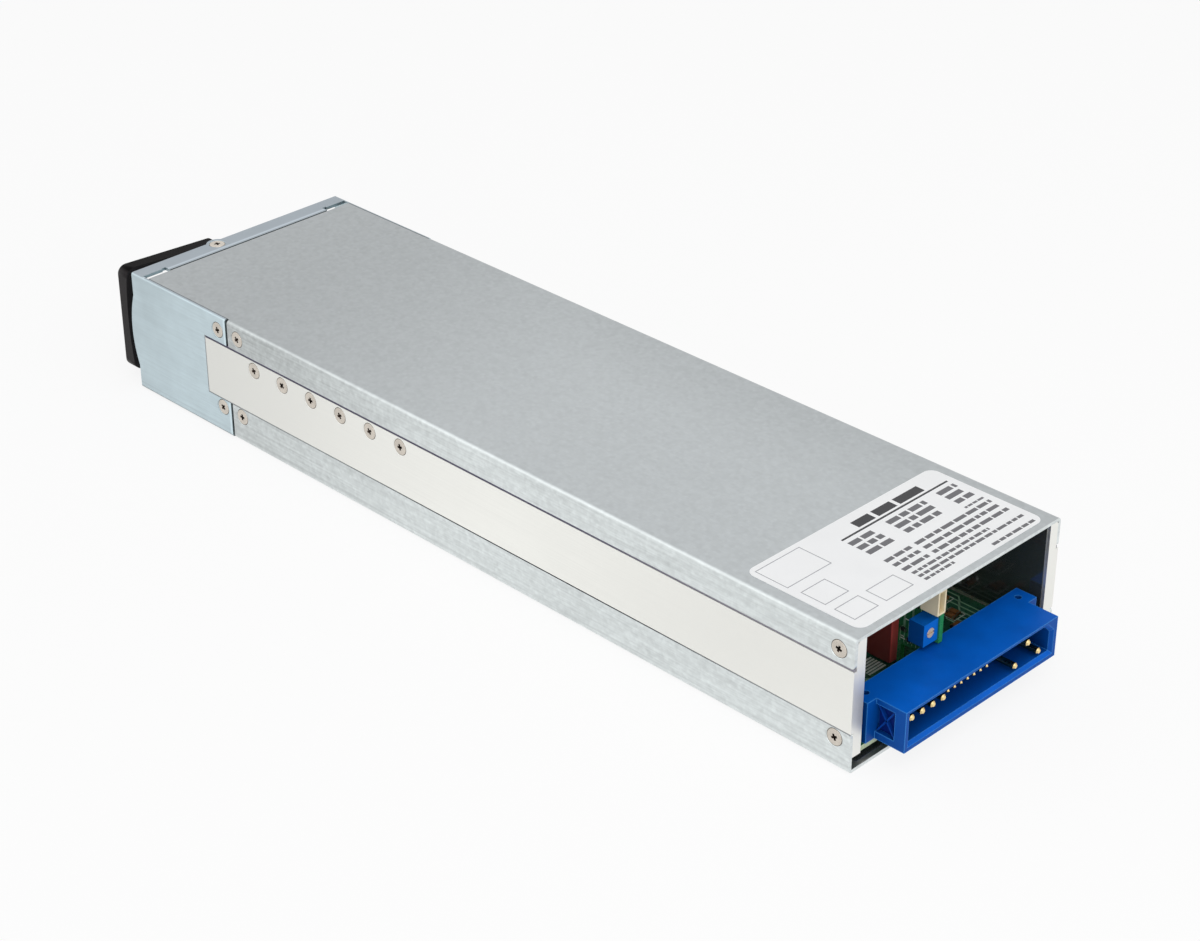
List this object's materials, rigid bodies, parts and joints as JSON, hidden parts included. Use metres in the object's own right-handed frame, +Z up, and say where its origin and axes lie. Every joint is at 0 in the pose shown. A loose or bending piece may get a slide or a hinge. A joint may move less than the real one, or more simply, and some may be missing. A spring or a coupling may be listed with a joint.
{
  "type": "rack-mount power supply",
  "caption": "Slim rack-mount power supply module: folded-sheet case on aluminium side bars, grilled fan and swing-out pull handle at the front, shrouded blind-mate connector at the rear.",
  "frame": {"origin": "middle of the case's underside, halfway between its front and rear edges", "axes": "+X to the right seen from the front with +Z up, +Y from the handle end to the connector end, +Z up"},
  "size_m": [0.085, 0.321, 0.0411],
  "materials": {
    "galvanised_sheet": "spangled galvanised sheet",
    "bright_sheet": "bright zinc-plated sheet",
    "aluminium_bar": "satin extruded bar",
    "plated_screw": "satin nickel plate",
    "black_plastic": "fine-grained moulding",
    "label_stock": "matt label film",
    "connector_blue": "semi-gloss moulding",
    "gold_contact": "bright gold plate",
    "circuit_board": "solder mask",
    "insulation_film": "glossy black film",
    "red_case": "dipped red coating",
    "blue_case": "moulded blue case",
    "cream_plastic": "natural nylon",
    "grey_plastic": "moulded grey case",
    "brass_screw": "machined brass",
    "steel_part": "machined steel",
    "bronze_bush": "sintered bronze",
    "ferrite": "pressed ferrite",
    "copper_winding": "enamelled copper wire",
    "winding_tape": "yellow winding tape",
    "can_sleeve": "shrink sleeve",
    "fuse_body": "ceramic tube with plated caps",
    "light_pipe": "milky clear moulding"
  },
  "bodies": {
    "chassis": {"top_cover": "galvanised_sheet", "bottom_cover": "galvanised_sheet", "side_bar_right": "aluminium_bar", "side_bar_left": "aluminium_bar", "front_cap": "bright_sheet", "front_panel": "bright_sheet", "status_light_pipes": "light_pipe", "rating_label": "label_stock", "cover_screws": "plated_screw", "cap_screws": "plated_screw", "heat_sink_screws": "plated_screw", "handle_pivot_screws": "plated_screw", "fan_housing": "black_plastic", "fan_bearing": "bronze_bush", "fan_stator": "copper_winding", "fan_screws": "plated_screw", "board_standoffs": "steel_part", "board_screws": "plated_screw", "main_board": "circuit_board", "floor_film": "insulation_film", "side_film": "insulation_film", "connector_screws": "plated_screw", "power_pins": "gold_contact", "signal_pins": "gold_contact", "connector_housing": "connector_blue", "control_board": "circuit_board", "trimmer_body": "blue_case", "board_header": "cream_plastic", "film_capacitor": "red_case", "suppression_capacitor": "grey_plastic", "relay": "black_plastic", "bridge_rectifier": "black_plastic", "bulk_capacitors": "can_sleeve", "output_capacitors": "can_sleeve", "filter_choke_core": "ferrite", "filter_choke_winding": "copper_winding", "boost_inductor_core": "ferrite", "boost_inductor_winding": "copper_winding", "output_inductor_core": "ferrite", "output_inductor_winding": "copper_winding", "transformer_core": "ferrite", "transformer_winding": "winding_tape", "input_fuse": "fuse_body", "power_transistors_right": "black_plastic", "power_transistors_left": "black_plastic", "clamp_strip_right": "steel_part", "clamp_strip_left": "steel_part"},
    "handle": {"handle": "black_plastic"},
    "fan_rotor": {"fan_impeller": "black_plastic", "fan_shaft": "steel_part"},
    "trimmer_screw": {"trimmer_screw": "brass_screw"}
  },
  "joints": [
    {"name": "handle_swing", "type": "hinge", "parent": "chassis", "child": "handle", "pos_m": [0.0097, -0.148, 0.0205], "axis": [0, 0, -1], "range_deg": [0, 90]},
    {"name": "fan_spin", "type": "hinge", "parent": "chassis", "child": "fan_rotor", "pos_m": [-0.0204, -0.128, 0.0205], "axis": [0, 1, 0], "continuous": true},
    {"name": "trimmer_turn", "type": "hinge", "parent": "chassis", "child": "trimmer_screw", "pos_m": [0.00505, 0.1435, 0.02355], "axis": [0, 1, 0], "range_deg": [-140, 140]}
  ]
}
